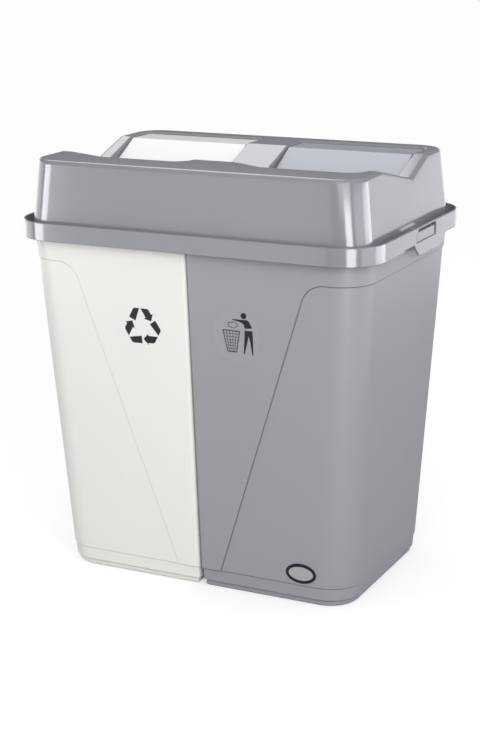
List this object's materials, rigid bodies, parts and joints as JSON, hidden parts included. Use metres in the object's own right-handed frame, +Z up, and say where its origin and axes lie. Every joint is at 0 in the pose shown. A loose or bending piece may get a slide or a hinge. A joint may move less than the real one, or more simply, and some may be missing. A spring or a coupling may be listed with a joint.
{
  "type": "recycling bin",
  "caption": "Double sorting bin: two tapered open buckets side by side under a shared rim frame and a lift-off hood with swing flaps.",
  "frame": {"origin": "on the floor, at the middle of the footprint", "axes": "+X across the two buckets to the right as seen from the front, +Y from front to back, +Z up"},
  "size_m": [0.5, 0.347, 0.5515],
  "materials": {
    "white_shell": "satin",
    "grey_shell": "satin",
    "grey_trim": "satin",
    "grey_catch": "satin",
    "grey_flap": "satin",
    "label_clear": "gloss",
    "badge_black": "gloss"
  },
  "bodies": {
    "base": {"left_bucket": "white_shell", "right_bucket": "grey_shell", "recycling_label": "label_clear", "litter_label": "label_clear", "oval_badge": "badge_black"},
    "frame": {"rim_frame": "grey_trim"},
    "left_catch": {"left_catch": "grey_catch"},
    "right_catch": {"right_catch": "grey_catch"},
    "hood": {"hood": "grey_trim"},
    "left_flap": {"left_flap": "white_shell"},
    "right_flap": {"right_flap": "grey_flap"}
  },
  "joints": [
    {"name": "frame_lift", "type": "slide", "parent": "base", "child": "frame", "axis": [0, 0, 1], "range_m": [0, 0.12]},
    {"name": "hood_lift", "type": "slide", "parent": "frame", "child": "hood", "axis": [0, 0, 1], "range_m": [0, 0.12]},
    {"name": "left_catch_hinge", "type": "hinge", "parent": "frame", "child": "left_catch", "pos_m": [-0.24692, -0.0171, 0.462], "axis": [0, 0, 1], "range_deg": [0, 12], "stiffness_Nm_per_rad": 0.02, "springref_deg": -11.46},
    {"name": "right_catch_hinge", "type": "hinge", "parent": "frame", "child": "right_catch", "pos_m": [0.24692, -0.0171, 0.462], "axis": [0, 0, -1], "range_deg": [0, 12], "stiffness_Nm_per_rad": 0.02, "springref_deg": -11.46},
    {"name": "left_flap_swing", "type": "hinge", "parent": "hood", "child": "left_flap", "pos_m": [-0.11875, 0.0708, 0.5405], "axis": [1, 0, 0], "range_deg": [-60, 60]},
    {"name": "right_flap_swing", "type": "hinge", "parent": "hood", "child": "right_flap", "pos_m": [0.11875, 0.0708, 0.5405], "axis": [1, 0, 0], "range_deg": [-60, 60]}
  ]
}
